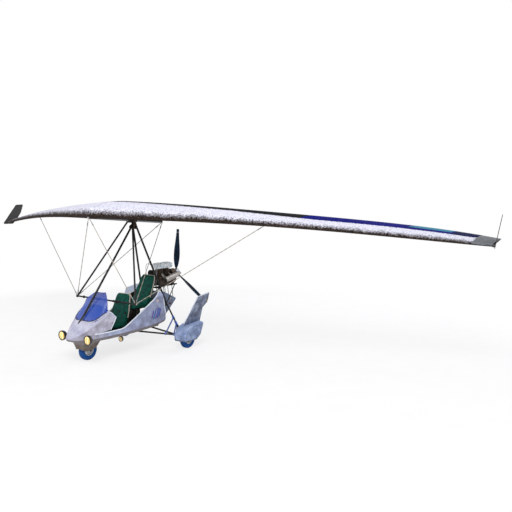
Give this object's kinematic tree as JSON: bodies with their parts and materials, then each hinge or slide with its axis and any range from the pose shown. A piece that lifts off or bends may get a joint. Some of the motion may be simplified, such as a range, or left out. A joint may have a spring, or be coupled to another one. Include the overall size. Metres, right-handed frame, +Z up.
{
  "type": "motor glider",
  "caption": "Two-seat weight-shift motor glider: an open pod on three wheels with a rear propeller, hung under a swept tailless fabric wing with winglets.",
  "frame": {"origin": "on the ground under the middle of the whole craft", "axes": "+X to port along the span, -Y forward to the nose, +Z up"},
  "size_m": [12.5408, 3.525, 2.8016],
  "materials": {
    "pod_grp": "gloss",
    "panel_grp": "satin",
    "screen_glass": "gloss",
    "black_plastic": "matte",
    "lamp_glass": "gloss",
    "black_tube": "satin",
    "blue_clamp": "satin",
    "seat_vinyl": "satin",
    "case_metal": "satin",
    "cover_paint": "satin",
    "bright_pipe": "satin",
    "red_lens": "gloss",
    "blue_tyre": "matte",
    "white_rim": "satin",
    "navy_blade": "satin",
    "alloy": "satin",
    "sail_cloth": "matte",
    "tip_cloth": "matte",
    "stay_wire": "satin"
  },
  "bodies": {
    "trike": {"pod_tub": "pod_grp", "nose_cowl": "pod_grp", "wheel_arch": "pod_grp", "windscreen": "screen_glass", "instrument_panel": "black_plastic", "lamp_housings": "black_plastic", "lamp_lenses": "lamp_glass", "main_beam": "black_tube", "pylon": "black_tube", "front_strut": "black_tube", "hang_bracket": "bright_pipe", "main_gear": "black_tube", "gear_brackets": "blue_clamp", "wheel_spat_left": "panel_grp", "wheel_spat_right": "panel_grp", "front_seat": "seat_vinyl", "rear_seat": "seat_vinyl", "seat_frame": "black_tube", "engine_block": "case_metal", "engine_cover": "cover_paint", "gearbox": "case_metal", "carburettors": "black_plastic", "exhaust": "bright_pipe", "engine_mount": "black_tube", "tail_tank": "panel_grp", "filler_cap": "alloy", "marker_lamp": "red_lens"},
    "nose_steering": {"nose_fork": "black_tube"},
    "nose_wheel": {"nose_tyre": "blue_tyre", "nose_rim": "white_rim"},
    "left_wheel": {"left_tyre": "blue_tyre", "left_rim": "white_rim"},
    "right_wheel": {"right_tyre": "blue_tyre", "right_rim": "white_rim"},
    "propeller": {"prop_hub": "alloy", "prop_blades": "navy_blade"},
    "hang_joint": {"hang_block": "alloy"},
    "wing": {"wing_keel": "alloy", "control_frame": "black_tube", "sail_left": "sail_cloth", "sail_right": "sail_cloth", "wing_tips": "tip_cloth", "winglets": "black_plastic", "main_stays": "stay_wire"}
  },
  "joints": [
    {"name": "nose_steer", "type": "hinge", "parent": "trike", "child": "nose_steering", "pos_m": [0, -1.31, 0.4], "axis": [0, 0, 1], "range_deg": [-22, 22]},
    {"name": "nose_wheel_spin", "type": "hinge", "parent": "nose_steering", "child": "nose_wheel", "pos_m": [0, -1.28, 0.18], "axis": [1, 0, 0], "continuous": true},
    {"name": "left_wheel_spin", "type": "hinge", "parent": "trike", "child": "left_wheel", "pos_m": [0.862, 0.4, 0.18], "axis": [1, 0, 0], "continuous": true},
    {"name": "right_wheel_spin", "type": "hinge", "parent": "trike", "child": "right_wheel", "pos_m": [-0.862, 0.4, 0.18], "axis": [1, 0, 0], "continuous": true},
    {"name": "propeller_spin", "type": "hinge", "parent": "trike", "child": "propeller", "pos_m": [0, 1.04, 1.33], "axis": [0, 1, 0], "continuous": true},
    {"name": "wing_pitch", "type": "hinge", "parent": "trike", "child": "hang_joint", "pos_m": [0, -0.1, 2.36], "axis": [1, 0, 0], "range_deg": [-3, 10]},
    {"name": "wing_roll", "type": "hinge", "parent": "hang_joint", "child": "wing", "pos_m": [0, -0.1, 2.42976], "axis": [0, 0.9966, -0.0821], "range_deg": [-10, 10]}
  ]
}
